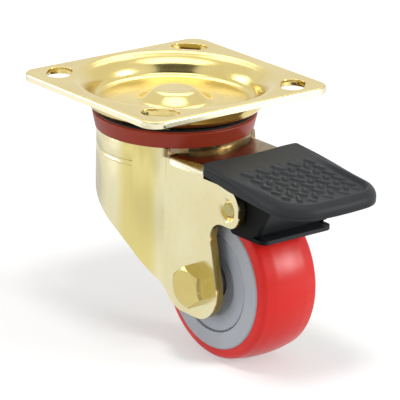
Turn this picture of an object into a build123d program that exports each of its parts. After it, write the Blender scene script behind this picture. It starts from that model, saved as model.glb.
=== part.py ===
from build123d import *
import os
from math import cos, radians, sin, tan

# Braked swivel plate castor with a 75 mm polyurethane wheel.
# Millimetres. The origin is the centre of the top plate's upper face, on the swivel axis.
# +Z is up, +X is the trailing side that carries the pedal, Y runs along the axle.
# "near" pieces are on the -Y side, where the bolt head is, and "far" pieces on the +Y side.

# Top plate
plate_length = 99.0
plate_width = 103.0
plate_sheet = 3.2
plate_corner = 8.0
plate_edge_round = 0.9
slot_inset_x = 12.0
slot_inset_y = 14.0
slot_length = 17.0
slot_width = 11.0

# Pressed dish in the middle of the top plate
dish_depth = 9.8
dish_margin = 2.6
dish_rim_run = 3.4
dish_wall_run = 7.0
dish_bend = 6.0
dome_drop = 4.6
dome_flat_radius = 9.5
dome_foot_radius = 16.0

# Swivel head
race_gap = 2.6
upper_race_radius = 27.0
upper_ball_radius = 3.175
upper_ball_count = 16
lower_race_radius = 13.5
lower_ball_radius = 2.5
lower_ball_count = 10
lower_race_gap = 3.3
lower_race_sheet = 2.5
lower_race_rim_radius = 19.5
lower_race_rim_wall = 1.8
lower_race_rim_gap = 0.9
ball_gap = 0.12
race_running_gap = 0.25
king_pin_radius = 5.0
king_pin_head_radius = 7.2
king_pin_head_height = 2.4
king_pin_button_radius = 8.4
king_pin_button_crown = 5.4
king_pin_button_edge = 1.0
king_pin_button_height = 2.8
king_pin_play = 1.2

# Dust seal round the swivel head
seal_inner_radius = 34.1
seal_foot_radius = 36.0
seal_top_radius = 37.6
seal_lip = 1.4
seal_plate_gap = 1.4
seal_height = 7.4
seal_fit = 0.1

# Fork, drawn from one sheet
fork_sheet = 4.0
head_radius = 35.5
head_shoulder = 1.8
head_round = 2.0
leg_half_width = 25.0
fold_radius = 7.0
leg_top_drop = 6.7
leg_step_x = 28.0
leg_step_run = 2.0
leg_step_radius = 4.0
bridge_drop = 2.2
bridge_fold = 4.5
bridge_pedal_gap = 1.5
lobe_reach = 8.0
lobe_drop = 7.7
lobe_top_radius = 8.5
lobe_foot_radius = 6.0
arch_inset = 13.0
arch_radius = 8.0
boss_radius = 14.0
boss_drop = 15.4
boss_heel = 17.8
boss_toe = 16.0
apron_knee_x = 8.0
apron_knee_drop = 44.2
apron_hip_x = -24.0
apron_hip_drop = 26.2
apron_front_drop = 20.2
apron_bend = 50.0
sheared_corner = 1.0
bead_drop = 9.0
bead_radius = 1.6
bead_depth = 0.7
bead_half_angle = 110.0
dimple_radius = 5.5
dimple_depth = 1.3
dimple_floor_radius = 3.6

# Axle
trail = 49.0
axle_drop = 79.0
axle_radius = 5.0
axle_fit = 0.05
hex_flats = 17.0
hex_turn = 9.0
hex_crown_inset = 0.4
hex_bevel_angle = 30.0
bolt_head_height = 6.6
nut_height = 8.0
nut_collar_height = 2.6
nut_collar_radius = 6.6
nut_collar_round = 1.2
bolt_end = 1.5
bolt_end_bevel = 0.8
bush_radius = 7.6
spacer_radius = 7.2

# Wheel
wheel_diameter = 75.0
tyre_edge_radius = 35.8
tyre_edge_half_width = 14.8
tyre_edge_round = 3.0
hub_radius = 31.4
hub_half_width = 16.6
hub_key_depth = 1.4
hub_key_half_width = 6.0
hub_web_half = 5.0
hub_boss_wall = 3.5
hub_bearing_shoulder = 2.0
hub_face_bevel = 0.8
cover_radius = 23.4
cover_seam = 0.5
cover_ledge = 1.6
cover_wall = 1.8
cover_dish = 1.6
cover_dish_radius = 13.0
cover_inset = 0.5
cover_bush_gap = 0.7
bearing_outer_radius = 15.0
bearing_ring_wall = 3.2
bearing_width = 9.0
bearing_inset = 4.4
bearing_ball_radius = 2.38
bearing_ball_count = 8

# Brake pivot, measured from the axle
pivot_ahead = 20.0
pivot_rise = 40.5
pin_radius = 3.0
pin_fit = 0.05
pin_head_radius = 3.5
pin_head_crown = 2.6
pin_head_height = 0.8
washer_radius = 6.0
washer_gap = 0.1

# Pedal, on a plane that slopes down to the nose
pedal_rear_x = 54.0
pedal_rear_drop = 21.0
pedal_slope = 4.5
pedal_length = 63.5
pedal_width = 55.0
pedal_height = 5.9
pedal_wall = 2.0
pedal_top_wall = 3.0
pedal_rear_hollow = 2.0
pedal_nose_bow = 2.5
pedal_nose_corner = 13.0
pedal_edge_round = 2.2
pedal_rear_corner = 2.6
pedal_rear_height = 4.4
field_margin = 5.5
field_depth = 0.9
field_rear = 14.0
stud_length = 6.0
stud_width = 2.2
stud_rise = 0.2
stud_pitch = 6.6
stud_turn = 35.0
stud_columns = 5
stud_rows = 5
stud_centre = 38.0
rib_count = 3
rib_wall = 1.6
rib_pitch = 13.0
rib_start = 46.0
rib_foot = 0.6

# Brake lever and blade, folded from sheet
lever_sheet = 2.0
lever_side_gap = 1.0
lever_rear = 6.0
lever_front = 41.5
lever_foot_ahead = 34.5
lever_foot_rise = 31.5
lever_bend = 2.6
cheek_rear = 9.0
cheek_eye_radius = 7.0
cheek_heel_ahead = 17.5
cheek_corner = 2.0
cheek_nick = 0.3
blade_sheet = 1.8
blade_tip_ahead = 39.3
blade_rise = 30.2
blade_leg = 11.0
blade_corner = 4.0
blade_bend = 0.6
blade_gap = 0.2
screw_radius = 2.0
screw_head_radius = 3.6
screw_head_height = 1.8
screw_head_round = 0.8
screw_grip = 2.0
screw_along = 26.0
screw_pitch = 22.0
screw_fit = 0.1

# Sizes worked out from those above
bolt_pitch_x = plate_length - 2 * slot_inset_x
bolt_pitch_y = plate_width - 2 * slot_inset_y
dish_rim_radius = min(plate_length, plate_width) / 2 - dish_margin
dish_wall_top_radius = dish_rim_radius - dish_rim_run
dish_floor_radius = dish_wall_top_radius - dish_wall_run
dish_under_z = -(dish_depth + plate_sheet)
dome_under_z = -(dome_drop + plate_sheet)
head_top_z = dish_under_z - race_gap
head_under_z = head_top_z - fork_sheet
upper_ball_z = dish_under_z - race_gap / 2
lower_race_z = head_under_z - lower_race_gap
lower_ball_z = head_under_z - lower_race_gap / 2
lower_race_under_z = lower_race_z - lower_race_sheet
seal_top_z = dish_under_z - seal_plate_gap
seal_foot_z = seal_top_z - seal_height
bridge_z = seal_foot_z - bridge_drop
bridge_end_x = pedal_rear_x - bridge_pedal_gap
head_lip_z = bridge_z - fork_sheet
leg_top_z = seal_foot_z - leg_top_drop
axle_z = -axle_drop
wheel_radius = wheel_diameter / 2
leg_inner = leg_half_width - fork_sheet
lever_half_width = leg_inner - lever_side_gap
bearing_face = hub_half_width - bearing_inset
pivot_x = trail + pivot_ahead
pivot_z = axle_z + pivot_rise
dimple_floor = leg_half_width - dimple_depth

# Frames shared by several pieces
axle_line = Axis((trail, 0, axle_z), (0, 1, 0))
pivot_line = Axis((pivot_x, 0, pivot_z), (0, 1, 0))
axle_plane = Plane(origin=(trail, 0, axle_z), x_dir=(0, 1, 0), z_dir=(1, 0, 0))
pivot_plane = Plane(origin=(pivot_x, 0, pivot_z), x_dir=(0, 1, 0), z_dir=(1, 0, 0))
pedal_plane = Plane(
    origin=(pedal_rear_x, 0, -pedal_rear_drop),
    x_dir=(cos(radians(pedal_slope)), 0, -sin(radians(pedal_slope))),
    z_dir=(sin(radians(pedal_slope)), 0, cos(radians(pedal_slope))),
)

pedal_side = Plane(origin=pedal_plane.origin, x_dir=pedal_plane.x_dir, z_dir=(0, -1, 0))
bead_plane = Plane(
    origin=(0, 0, 0),
    x_dir=(-cos(radians(bead_half_angle)), sin(radians(bead_half_angle)), 0),
    z_dir=(sin(radians(bead_half_angle)), cos(radians(bead_half_angle)), 0),
)

os.makedirs("parts", exist_ok=True)


def save(piece, label):
    """Label a finished piece and write it to the parts folder."""
    piece.label = label
    export_step(piece, "parts/" + label + ".step")


def turned(plane, axis, outline):
    """A solid of revolution from a closed outline of corner points."""
    with BuildPart() as body:
        with BuildSketch(plane):
            with BuildLine():
                Polyline(*outline, close=True)
            make_face()
        revolve(axis=axis)
    return body.part


def ball_row(count, row_radius, radius, plane):
    """Separate balls evenly spaced on a circle in the plane."""
    with BuildPart() as row:
        with Locations(plane):
            with PolarLocations(row_radius, count):
                Sphere(radius)
    return row.part


# Top plate: rounded blank with four diagonal slots, and the dish pressed into its middle
with BuildPart() as top_plate:
    with BuildSketch(Plane.XY.offset(-plate_sheet)):
        RectangleRounded(plate_length, plate_width, plate_corner)
        Circle(dish_rim_radius, mode=Mode.SUBTRACT)
        for side_x in (-1, 1):
            for side_y in (-1, 1):
                with Locations((side_x * bolt_pitch_x / 2, side_y * bolt_pitch_y / 2)):
                    SlotOverall(slot_length, slot_width, rotation=-45 * side_x * side_y, mode=Mode.SUBTRACT)
    extrude(amount=plate_sheet)
    with BuildSketch(Plane.XZ):
        with BuildLine():
            FilletPolyline(
                (0, -dome_drop),
                (dome_flat_radius, -dome_drop),
                (dome_foot_radius, -dish_depth),
                (dish_floor_radius, -dish_depth),
                (dish_wall_top_radius, 0),
                (dish_rim_radius, 0),
                radius=dish_bend,
            )
            offset(amount=plate_sheet, side=Side.RIGHT)
        make_face()
    revolve(axis=Axis.Z)
    with BuildSketch(Plane.XZ):
        with Locations((upper_race_radius, upper_ball_z)):
            Circle(upper_ball_radius + race_running_gap)
    revolve(axis=Axis.Z, mode=Mode.SUBTRACT)
    rim_edges = top_plate.faces().sort_by(Axis.Z)[-1].outer_wire().edges()
    fillet(rim_edges, plate_edge_round)
save(top_plate.part, "top_plate")

# King pin: welded under the dome, riveted over below the lower race
king_pin = turned(
    Plane.XZ,
    Axis.Z,
    [
        (0, dome_under_z),
        (king_pin_head_radius, dome_under_z),
        (king_pin_head_radius, dome_under_z - king_pin_head_height),
        (king_pin_radius, dome_under_z - king_pin_head_height),
        (king_pin_radius, lower_race_under_z),
        (king_pin_button_radius, lower_race_under_z),
        (king_pin_button_radius, lower_race_under_z - king_pin_button_edge),
        (king_pin_button_crown, lower_race_under_z - king_pin_button_height),
        (0, lower_race_under_z - king_pin_button_height),
    ],
)
save(king_pin, "king_pin")

# Lower race: a pressed cup with an upturned rim, held on the king pin
with BuildPart() as lower_race:
    with BuildSketch(Plane.XZ):
        with BuildLine():
            Polyline(
                (king_pin_radius, lower_race_under_z),
                (lower_race_rim_radius, lower_race_under_z),
                (lower_race_rim_radius, head_under_z - lower_race_rim_gap),
                (lower_race_rim_radius - lower_race_rim_wall, head_under_z - lower_race_rim_gap),
                (lower_race_rim_radius - lower_race_rim_wall, lower_race_z),
                (king_pin_radius, lower_race_z),
                close=True,
            )
        make_face()
        with Locations((lower_race_radius, lower_ball_z)):
            Circle(lower_ball_radius + race_running_gap, mode=Mode.SUBTRACT)
    revolve(axis=Axis.Z)
save(lower_race.part, "lower_race")

# Balls of the two swivel races
save(
    ball_row(upper_ball_count, upper_race_radius, upper_ball_radius, Plane.XY.offset(upper_ball_z)),
    "upper_balls",
)
save(
    ball_row(lower_ball_count, lower_race_radius, lower_ball_radius, Plane.XY.offset(lower_ball_z)),
    "lower_balls",
)

# Dust seal: a ring that widens towards the plate and stands on the fork's shoulder
dust_seal = turned(
    Plane.XZ,
    Axis.Z,
    [
        (seal_inner_radius, seal_foot_z),
        (seal_foot_radius, seal_foot_z),
        (seal_top_radius, seal_top_z),
        (seal_top_radius - seal_lip, seal_top_z),
        (seal_inner_radius, seal_top_z - seal_lip),
    ],
)
save(dust_seal, "dust_seal")

# Bridge behind the fork's head: the sheet runs flat from leg to leg, with a wide fold along each
bridge_start_x = leg_step_x - leg_step_run
with BuildPart() as bridge:
    with BuildSketch(Plane.YZ.offset(bridge_start_x)):
        with Locations((0, leg_top_z - bridge_fold)):
            Rectangle(2 * leg_half_width, bridge_z - leg_top_z + bridge_fold, align=(Align.CENTER, Align.MIN))
            Rectangle(
                2 * leg_inner,
                bridge_z - fork_sheet - leg_top_z + bridge_fold,
                align=(Align.CENTER, Align.MIN),
                mode=Mode.SUBTRACT,
            )
        fillet(vertices().group_by(Axis.Y)[-1], bridge_fold)
    extrude(amount=bridge_end_x - bridge_start_x)
    with BuildSketch(Plane.XY.offset(leg_top_z - bridge_fold)):
        Circle(head_radius - fork_sheet)
    extrude(amount=bridge_z - leg_top_z + bridge_fold, mode=Mode.SUBTRACT)

# Fork: drawn round head, curved apron in front, and two legs folded back to the axle
lobe_front_x = pivot_x + lobe_reach
lobe_foot_z = pivot_z - lobe_drop
boss_z = axle_z - boss_drop
with BuildPart() as fork:
    with BuildSketch(Plane.XY.offset(boss_z - fork_sheet)):
        Circle(head_radius)
        with Locations((0, 0)):
            Rectangle(
                lobe_front_x + 2 * fork_sheet,
                2 * leg_half_width,
                align=(Align.MIN, Align.CENTER),
            )
        wall_folds = vertices().filter_by(lambda v: 0 < v.X < head_radius)
        fillet(wall_folds, fold_radius)
        offset(amount=-fork_sheet, mode=Mode.SUBTRACT)
    extrude(amount=seal_foot_z - boss_z + fork_sheet)
    with BuildSketch(Plane.XZ):
        with BuildLine():
            FilletPolyline(
                (-head_radius - fork_sheet, seal_foot_z + fork_sheet),
                (leg_step_x - leg_step_run, seal_foot_z + fork_sheet),
                (leg_step_x, leg_top_z),
                (lobe_front_x, leg_top_z),
                (lobe_front_x, lobe_foot_z),
                (pivot_x - arch_inset, lobe_foot_z),
                (trail + boss_heel, boss_z),
                (trail - boss_toe, boss_z),
                (apron_knee_x, seal_foot_z - apron_knee_drop),
                (apron_hip_x, seal_foot_z - apron_hip_drop),
                (-head_radius - fork_sheet, seal_foot_z - apron_front_drop),
                close=True,
                radius=[
                    sheared_corner,
                    sheared_corner,
                    leg_step_radius,
                    lobe_top_radius,
                    lobe_foot_radius,
                    arch_radius,
                    boss_radius,
                    boss_radius,
                    apron_bend,
                    apron_bend,
                    sheared_corner,
                ],
            )
        make_face()
    extrude(amount=head_radius * 2, both=True, mode=Mode.INTERSECT)
    add(bridge.part)
    with BuildSketch(Plane.XZ):
        with BuildLine():
            Polyline(
                (king_pin_radius + king_pin_play, head_top_z),
                (seal_inner_radius - seal_fit - head_round, head_top_z),
                (seal_inner_radius - seal_fit, head_top_z - head_round),
                (seal_inner_radius - seal_fit, seal_foot_z),
                (head_radius, seal_foot_z),
                (head_radius, head_lip_z),
                (head_radius - fork_sheet, head_lip_z),
                (head_radius - fork_sheet, head_under_z - head_shoulder),
                (head_radius - fork_sheet - head_shoulder, head_under_z),
                (king_pin_radius + king_pin_play, head_under_z),
                close=True,
            )
        make_face()
    revolve(axis=Axis.Z)
    with BuildSketch(Plane.XZ):
        with Locations((upper_race_radius, upper_ball_z)):
            Circle(upper_ball_radius + ball_gap)
        with Locations((lower_race_radius, lower_ball_z)):
            Circle(lower_ball_radius + ball_gap)
    revolve(axis=Axis.Z, mode=Mode.SUBTRACT)
    with BuildSketch(bead_plane):
        with Locations((head_radius + bead_radius - bead_depth, seal_foot_z - bead_drop)):
            Circle(bead_radius)
    revolve(axis=Axis.Z, revolution_arc=2 * bead_half_angle, mode=Mode.SUBTRACT)
    with BuildSketch(Plane.XZ):
        with Locations((trail, axle_z)):
            Circle(axle_radius + axle_fit)
        with Locations((pivot_x, pivot_z)):
            Circle(pin_radius + pin_fit)
    extrude(amount=2 * leg_half_width, both=True, mode=Mode.SUBTRACT)
    for side in (-1, 1):
        with BuildSketch(pivot_plane):
            with BuildLine():
                Polyline(
                    (side * dimple_floor, 0),
                    (side * dimple_floor, dimple_floor_radius),
                    (side * leg_half_width, dimple_radius),
                    (side * (leg_half_width + dimple_depth), dimple_radius),
                    (side * (leg_half_width + dimple_depth), 0),
                    close=True,
                )
            make_face()
        revolve(axis=pivot_line, mode=Mode.SUBTRACT)
save(fork.part, "fork")


def side_frame(distance, side):
    """A plane across the axle at this distance from the middle, facing outwards."""
    return Plane(origin=(trail, side * distance, axle_z), x_dir=(1, 0, 0), z_dir=(0, side, 0))


def hexagon_on_leg(side, height):
    """A hexagon that stands on the outer face of a leg, with its outer corners bevelled."""
    crown = hex_flats / 2 - hex_crown_inset
    bevel = (hex_flats - crown) * tan(radians(hex_bevel_angle))
    with BuildPart() as body:
        with BuildSketch(side_frame(leg_half_width, side)):
            RegularPolygon(hex_flats / 2, 6, major_radius=False, rotation=30 + hex_turn)
        extrude(amount=height)
        with BuildSketch(axle_plane):
            with BuildLine():
                Polyline(
                    (side * leg_half_width, 0),
                    (side * leg_half_width, hex_flats),
                    (side * (leg_half_width + height - bevel), hex_flats),
                    (side * (leg_half_width + height), crown),
                    (side * (leg_half_width + height), 0),
                    close=True,
                )
            make_face()
        revolve(axis=axle_line, mode=Mode.INTERSECT)
    return body.part


# Axle bolt: hexagon head on the near side, shank through the legs and the wheel
bolt_head = hexagon_on_leg(-1, bolt_head_height)
nut_end = leg_half_width + nut_height + nut_collar_height
with BuildPart() as axle_bolt:
    add(bolt_head)
    with BuildSketch(side_frame(leg_half_width, -1)):
        Circle(axle_radius)
    extrude(amount=-(leg_half_width + nut_end + bolt_end))
    chamfer(axle_bolt.faces().sort_by(Axis.Y)[-1].edges(), bolt_end_bevel)
save(axle_bolt.part, "axle_bolt")

# Locking nut on the far side, with its round collar
nut_body = hexagon_on_leg(1, nut_height)
with BuildPart() as axle_nut:
    add(nut_body)
    with BuildSketch(side_frame(leg_half_width + nut_height, 1)):
        Circle(nut_collar_radius)
    extrude(amount=nut_collar_height)
    fillet(axle_nut.faces().sort_by(Axis.Y)[-1].edges(), nut_collar_round)
    with BuildSketch(side_frame(leg_half_width, 1)):
        Circle(axle_radius + axle_fit)
    extrude(amount=nut_height + nut_collar_height, mode=Mode.SUBTRACT)
save(axle_nut.part, "axle_nut")

# Spacer tube between the two bearings
with BuildPart() as centre_spacer:
    with BuildSketch(side_frame(0, 1)):
        Circle(spacer_radius)
        Circle(axle_radius + axle_fit, mode=Mode.SUBTRACT)
    extrude(amount=bearing_face - bearing_width, both=True)
save(centre_spacer.part, "centre_spacer")

# Wheel hub: the outline of one half and its mirror, turned about the axle
cover_back = hub_half_width - cover_inset - cover_wall
hub_boss_radius = bearing_outer_radius + hub_boss_wall
hub_rim_bore = cover_radius - cover_ledge
hub_half = [
    (hub_key_half_width, hub_radius - hub_key_depth),
    (hub_key_half_width, hub_radius),
    (hub_half_width - hub_face_bevel, hub_radius),
    (hub_half_width, hub_radius - hub_face_bevel),
    (hub_half_width, cover_radius),
    (cover_back, cover_radius),
    (cover_back, hub_rim_bore),
    (hub_web_half, hub_rim_bore),
    (hub_web_half, hub_boss_radius),
    (bearing_face, hub_boss_radius),
    (bearing_face, bearing_outer_radius),
    (bearing_face - bearing_width, bearing_outer_radius),
    (bearing_face - bearing_width, bearing_outer_radius - hub_bearing_shoulder),
]
wheel_hub = turned(axle_plane, axle_line, hub_half + [(-across, out) for across, out in reversed(hub_half)])
save(wheel_hub, "wheel_hub")

# Tyre: crowned tread with rounded shoulders, moulded over the rim and into its groove
tyre_foot_half_width = hub_half_width - hub_face_bevel
with BuildPart() as tyre:
    with BuildSketch(axle_plane):
        with BuildLine():
            ThreePointArc(
                (tyre_edge_half_width, tyre_edge_radius),
                (0, wheel_radius),
                (-tyre_edge_half_width, tyre_edge_radius),
            )
            Polyline(
                (-tyre_edge_half_width, tyre_edge_radius),
                (-tyre_foot_half_width, hub_radius),
                (-hub_key_half_width, hub_radius),
                (-hub_key_half_width, hub_radius - hub_key_depth),
                (hub_key_half_width, hub_radius - hub_key_depth),
                (hub_key_half_width, hub_radius),
                (tyre_foot_half_width, hub_radius),
                (tyre_edge_half_width, tyre_edge_radius),
            )
        make_face()
        fillet(vertices().sort_by(Axis.Y)[-2:], tyre_edge_round)
    revolve(axis=axle_line)
save(tyre.part, "tyre")

# Pieces that come in pairs, one on each side of the wheel
ball_path_radius = (bearing_outer_radius + axle_radius) / 2
bearing_middle = bearing_face - bearing_width / 2
for side_name, side in (("near", -1), ("far", 1)):
    with BuildPart() as outer_ring:
        with BuildSketch(axle_plane):
            with Locations((side * bearing_middle, bearing_outer_radius - bearing_ring_wall / 2)):
                Rectangle(bearing_width, bearing_ring_wall)
            with Locations((side * bearing_middle, ball_path_radius)):
                Circle(bearing_ball_radius + ball_gap, mode=Mode.SUBTRACT)
        revolve(axis=axle_line)
    save(outer_ring.part, side_name + "_bearing_outer_ring")

    with BuildPart() as inner_ring:
        with BuildSketch(axle_plane):
            with Locations((side * bearing_middle, axle_radius + axle_fit + bearing_ring_wall / 2)):
                Rectangle(bearing_width, bearing_ring_wall)
            with Locations((side * bearing_middle, ball_path_radius)):
                Circle(bearing_ball_radius + race_running_gap, mode=Mode.SUBTRACT)
        revolve(axis=axle_line)
    save(inner_ring.part, side_name + "_bearing_inner_ring")

    save(
        ball_row(bearing_ball_count, ball_path_radius, bearing_ball_radius, side_frame(bearing_middle, side)),
        side_name + "_bearing_balls",
    )

    with BuildPart() as axle_bush:
        with BuildSketch(side_frame(bearing_face, side)):
            Circle(bush_radius)
            Circle(axle_radius + axle_fit, mode=Mode.SUBTRACT)
        extrude(amount=leg_inner - bearing_face)
    save(axle_bush.part, side_name + "_axle_bush")

    cover_front = cover_back + cover_wall
    hub_cover = turned(
        axle_plane,
        axle_line,
        [
            (side * cover_front, cover_radius - cover_seam),
            (side * cover_back, cover_radius - cover_seam),
            (side * cover_back, hub_boss_radius),
            (side * (cover_back - cover_dish), cover_dish_radius),
            (side * (cover_back - cover_dish), bush_radius + cover_bush_gap),
            (side * (cover_front - cover_dish), bush_radius + cover_bush_gap),
            (side * (cover_front - cover_dish), cover_dish_radius),
            (side * cover_front, hub_boss_radius),
        ],
    )
    save(hub_cover, side_name + "_hub_cover")

# Brake pivot pin: through both legs, with its ends riveted over in the dimples
brake_pin = turned(
    pivot_plane,
    pivot_line,
    [
        (-dimple_floor - pin_head_height, 0),
        (-dimple_floor - pin_head_height, pin_head_crown),
        (-dimple_floor, pin_head_radius),
        (-dimple_floor, pin_radius),
        (dimple_floor, pin_radius),
        (dimple_floor, pin_head_radius),
        (dimple_floor + pin_head_height, pin_head_crown),
        (dimple_floor + pin_head_height, 0),
    ],
)
save(brake_pin, "brake_pin")

# Friction washers between the legs and the lever's cheeks
with BuildPart() as brake_washers:
    for side in (-1, 1):
        with BuildSketch(Plane.XZ.offset(-side * (lever_half_width + washer_gap))):
            with Locations((pivot_x, pivot_z)):
                Circle(washer_radius)
                Circle(pin_radius + pin_fit, mode=Mode.SUBTRACT)
        extrude(amount=-side * (leg_inner - lever_half_width - 2 * washer_gap))
save(brake_washers.part, "brake_washers")


def pedal_point(along, below):
    """The X and Z of a point in the pedal's frame, from its rear edge and below its top."""
    point = pedal_plane.from_local_coords((along, 0, -below))
    return Vector(point.X, point.Z)


# Lines of the lever's front face and of the blade that lies behind it, as X and Z
lever_brow = pedal_point(lever_front, pedal_top_wall)
lever_foot = Vector(trail + lever_foot_ahead, axle_z + lever_foot_rise)
face_down = (lever_foot - lever_brow).normalized()
face_in = Vector(face_down.Y, -face_down.X)
blade_top_z = axle_z + blade_rise
face_back_foot = lever_foot + face_in * lever_sheet
blade_heel = face_back_foot + face_down * ((blade_top_z - face_back_foot.Y) / face_down.Y)
blade_tip_x = trail + blade_tip_ahead


def flat(point):
    """The two coordinates of a point in a side view."""
    return (point.X, point.Y)


# Brake lever: folded from one sheet, with a top under the pedal, a sloping face and two cheeks
with BuildPart() as brake_lever:
    with BuildSketch(Plane.XZ):
        with BuildLine():
            FilletPolyline(
                flat(pedal_point(lever_rear, pedal_top_wall)),
                flat(lever_brow),
                flat(lever_foot),
                radius=lever_bend,
            )
            offset(amount=lever_sheet, side=Side.RIGHT)
        make_face()
    extrude(amount=lever_half_width, both=True)
    for cheek_start in (lever_half_width - lever_sheet, -lever_half_width):
        with BuildSketch(Plane.XZ.offset(cheek_start)):
            with BuildLine():
                FilletPolyline(
                    flat(pedal_point(cheek_rear, pedal_top_wall + lever_sheet / 2)),
                    flat(pedal_point(lever_front - lever_sheet / 2, pedal_top_wall + lever_sheet / 2)),
                    (blade_heel.X - lever_sheet / 2 / face_in.X, blade_top_z),
                    (blade_heel.X - blade_gap, blade_top_z),
                    (blade_heel.X - blade_gap, blade_top_z - blade_sheet),
                    (trail + cheek_heel_ahead, blade_top_z - blade_sheet),
                    (pivot_x - cheek_eye_radius, pivot_z),
                    close=True,
                    radius=[cheek_nick] * 5 + [cheek_corner] * 2,
                )
            make_face()
            with Locations((pivot_x, pivot_z)):
                Circle(cheek_eye_radius)
        extrude(amount=lever_sheet)
    with BuildSketch(Plane.XZ):
        with Locations((pivot_x, pivot_z)):
            Circle(pin_radius + pin_fit)
    extrude(amount=leg_half_width, both=True, mode=Mode.SUBTRACT)
    with BuildSketch(pedal_plane.offset(-pedal_top_wall)):
        with Locations((screw_along, 0)):
            with GridLocations(screw_pitch, screw_pitch, 1, 2):
                Circle(screw_radius + screw_fit)
    extrude(amount=-2 * lever_sheet, mode=Mode.SUBTRACT)
save(brake_lever.part, "brake_lever")

# Brake blade: a bent plate behind the lever's face, whose heel presses on the tyre
with BuildPart() as brake_blade:
    with BuildSketch(Plane.XZ):
        with BuildLine():
            FilletPolyline(
                (blade_tip_x - blade_corner, blade_top_z),
                flat(blade_heel),
                flat(blade_heel - face_down * blade_leg),
                radius=blade_bend,
            )
            offset(amount=blade_sheet, side=Side.LEFT)
        make_face()
    extrude(amount=lever_half_width - lever_sheet - blade_gap, both=True)
    with BuildSketch(Plane.XY.offset(blade_top_z)):
        with Locations((blade_tip_x, 0)):
            Rectangle(blade_tip_x - blade_heel.X, 2 * lever_half_width, align=(Align.MAX, Align.CENTER))
        fillet(vertices().group_by(Axis.X)[-1], blade_corner)
    extrude(amount=-blade_sheet)
save(brake_blade.part, "brake_blade")


def pedal_plan(inset):
    """The pedal's outline from above, drawn in by this much: hollow rear edge, bowed nose."""
    half = pedal_width / 2
    nose_corner_x = pedal_length - pedal_nose_bow
    with BuildSketch() as plan:
        with BuildLine():
            ThreePointArc((0, -half), (pedal_rear_hollow, 0), (0, half))
            Line((0, half), (nose_corner_x, half))
            ThreePointArc((nose_corner_x, half), (pedal_length, 0), (nose_corner_x, -half))
            Line((nose_corner_x, -half), (0, -half))
        make_face()
        fillet(vertices().group_by(Axis.X)[-1], pedal_nose_corner)
        fillet(vertices().group_by(Axis.X)[0], pedal_rear_corner)
        if inset > 0:
            offset(amount=-inset, mode=Mode.REPLACE)
    return plan.sketch


# Sunken field on the pedal's top, deepest at the nose
field_plan = pedal_plan(field_margin)
with BuildPart() as pedal_field:
    with BuildSketch(pedal_plane.offset(-field_depth)):
        add(field_plan)
    extrude(amount=2 * field_depth)
    with BuildSketch(pedal_side):
        with BuildLine():
            Polyline(
                (field_rear, 0),
                (pedal_length, -field_depth),
                (pedal_length, field_depth),
                (field_rear, field_depth),
                close=True,
            )
        make_face()
    extrude(amount=pedal_width, both=True, mode=Mode.INTERSECT)

# Pedal: moulded tray over the lever, with skirts, ribs under the nose and grip bars on top
outer_plan = pedal_plan(0)
core_plan = pedal_plan(pedal_wall)
rib_depth = pedal_height - pedal_top_wall - rib_foot
with BuildPart() as brake_pedal:
    with BuildSketch(pedal_plane):
        add(outer_plan)
    extrude(amount=-pedal_height)
    crown_edges = brake_pedal.faces().sort_by(Axis.Z)[-1].outer_wire().edges()
    fillet(crown_edges, pedal_edge_round)
    with BuildSketch(pedal_plane.offset(-pedal_top_wall)):
        add(core_plan)
    extrude(amount=-pedal_height, mode=Mode.SUBTRACT)
    with BuildSketch(pedal_plane.offset(-pedal_rear_height)):
        Rectangle(
            4 * pedal_wall + 2 * pedal_rear_hollow,
            pedal_width - 2 * pedal_wall,
        )
    extrude(amount=-pedal_height, mode=Mode.SUBTRACT)
    with BuildSketch(pedal_plane.offset(-pedal_top_wall)):
        with Locations(((rib_start + pedal_length - pedal_wall) / 2, 0)):
            with GridLocations(rib_pitch, rib_pitch, 1, rib_count):
                Rectangle(pedal_length - pedal_wall - rib_start, rib_wall)
    extrude(amount=-rib_depth)
    add(pedal_field.part, mode=Mode.SUBTRACT)
    with BuildSketch(pedal_plane.offset(-field_depth)):
        for column in range(stud_columns):
            for row in range(stud_rows):
                stud_x = stud_centre + (column - (stud_columns - 1) / 2) * stud_pitch
                stud_y = (row - (stud_rows - 1) / 2) * stud_pitch
                lean = stud_turn if (column + row) % 2 else -stud_turn
                with Locations((stud_x, stud_y)):
                    SlotOverall(stud_length, stud_width, rotation=lean)
    extrude(amount=field_depth + stud_rise)
    with BuildSketch(pedal_plane.offset(-pedal_top_wall)):
        with Locations((screw_along, 0)):
            with GridLocations(screw_pitch, screw_pitch, 1, 2):
                Circle(screw_radius + screw_fit)
    extrude(amount=screw_grip + screw_fit, mode=Mode.SUBTRACT)
save(brake_pedal.part, "brake_pedal")

# Screws that hold the pedal to the lever from below
with BuildPart() as pedal_screws:
    with BuildSketch(pedal_plane.offset(-pedal_top_wall - lever_sheet)):
        with Locations((screw_along, 0)):
            with GridLocations(screw_pitch, screw_pitch, 1, 2):
                Circle(screw_radius)
    extrude(amount=lever_sheet + screw_grip)
    with BuildSketch(pedal_plane.offset(-pedal_top_wall - lever_sheet)):
        with Locations((screw_along, 0)):
            with GridLocations(screw_pitch, screw_pitch, 1, 2):
                Circle(screw_head_radius)
    extrude(amount=-screw_head_height)
    fillet(pedal_screws.faces().sort_by(Axis.Z)[:2].edges(), screw_head_round)
save(pedal_screws.part, "pedal_screws")
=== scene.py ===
from functools import cache, cached_property
import math

import bpy
import numpy as np
from mathutils import Matrix, Vector


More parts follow.
